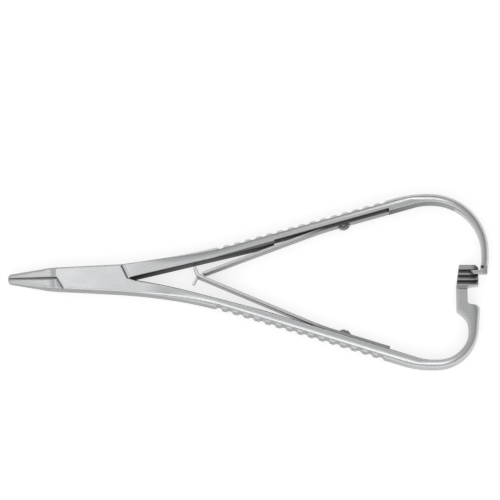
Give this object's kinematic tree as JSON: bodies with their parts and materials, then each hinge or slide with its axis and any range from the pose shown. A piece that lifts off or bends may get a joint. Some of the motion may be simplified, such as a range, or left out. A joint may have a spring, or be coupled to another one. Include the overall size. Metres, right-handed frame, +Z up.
{
  "type": "orthodontic elastic pliers",
  "caption": "Palm-held steel pliers with slim serrated jaws, a box-lock joint, ribbed bow handles, crossed leaf springs and a ratchet behind the handles.",
  "frame": {"origin": "on the joint axis, at the face that the pliers lie on", "axes": "+X from the joint towards the ends of the handles, +Y towards the handle of the male half, +Z up through the joint pin"},
  "size_m": [0.14, 0.0521, 0.0052],
  "materials": {
    "forged_steel": "satin stainless steel, glass-bead matted",
    "spring_steel": "rolled stainless spring strip, polished",
    "screw_steel": "turned stainless steel, polished dome"
  },
  "bodies": {
    "female": {"female_half": "forged_steel", "joint_pin": "forged_steel", "female_spring": "spring_steel", "female_spring_screw": "screw_steel"},
    "male": {"male_half": "forged_steel", "male_spring": "spring_steel", "male_spring_screw": "screw_steel"}
  },
  "joints": [
    {"name": "box_joint", "type": "hinge", "parent": "female", "child": "male", "pos_m": [0, 0, 0.0026], "axis": [0, 0, 1], "range_deg": [0, 16], "deforming": ["female_spring", "male_spring"]}
  ]
}
